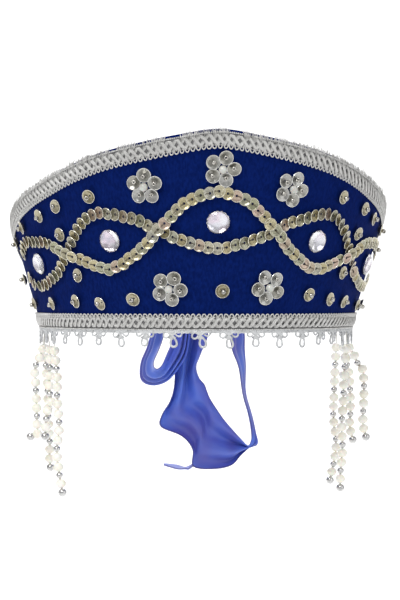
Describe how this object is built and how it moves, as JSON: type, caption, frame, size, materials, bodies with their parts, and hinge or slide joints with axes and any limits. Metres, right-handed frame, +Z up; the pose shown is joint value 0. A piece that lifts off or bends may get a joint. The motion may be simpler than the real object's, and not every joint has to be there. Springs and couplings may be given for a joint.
{
  "type": "kokoshnik headdress",
  "caption": "Flared, cloth-covered kokoshnik band with a raised front, sequins, stones, lace, pearl strands and a ribbon bow.",
  "frame": {"origin": "centre of the head opening, level with the hem", "axes": "+Z up, -Y the way the wearer faces, +X to the wearer's left"},
  "size_m": [0.1962, 0.26, 0.1818],
  "materials": {
    "crepe": "matte crepe",
    "braid": "woven metal thread",
    "lace": "metal thread lace",
    "sequin": "iridescent",
    "stone": "cut and foiled",
    "pearl": "pearl",
    "satin": "satin"
  },
  "bodies": {
    "root": {"bow_knot": "satin", "bow_loop_left": "satin", "bow_loop_right": "satin", "crown": "crepe", "flower_lower_left": "sequin", "flower_lower_right": "sequin", "flower_top": "sequin", "flower_upper_left": "sequin", "flower_upper_right": "sequin", "hem_braid": "braid", "hem_lace": "lace", "pearl_strand_left_1": "pearl", "pearl_strand_left_2": "pearl", "pearl_strand_left_3": "pearl", "pearl_strand_left_4": "pearl", "pearl_strand_right_1": "pearl", "pearl_strand_right_2": "pearl", "pearl_strand_right_3": "pearl", "pearl_strand_right_4": "pearl", "ribbon_tail": "satin", "sequin_01": "sequin", "sequin_02": "sequin", "sequin_03": "sequin", "sequin_04": "sequin", "sequin_05": "sequin", "sequin_06": "sequin", "sequin_07": "sequin", "sequin_08": "sequin", "sequin_09": "sequin", "sequin_10": "sequin", "sequin_11": "sequin", "sequin_12": "sequin", "sequin_13": "sequin", "sequin_14": "sequin", "sequin_15": "sequin", "sequin_16": "sequin", "sequin_17": "sequin", "sequin_18": "sequin", "sequin_19": "sequin", "sequin_20": "sequin", "sequin_21": "sequin", "sequin_22": "sequin", "sequin_23": "sequin", "sequin_24": "sequin", "sequin_25": "sequin", "sequin_26": "sequin", "sequin_wave_a": "sequin", "sequin_wave_b": "sequin", "stone_centre": "stone", "stone_far_left": "stone", "stone_far_right": "stone", "stone_left": "stone", "stone_right": "stone", "tie_left": "satin", "tie_right": "satin", "top_braid": "braid"}
  },
  "joints": []
}
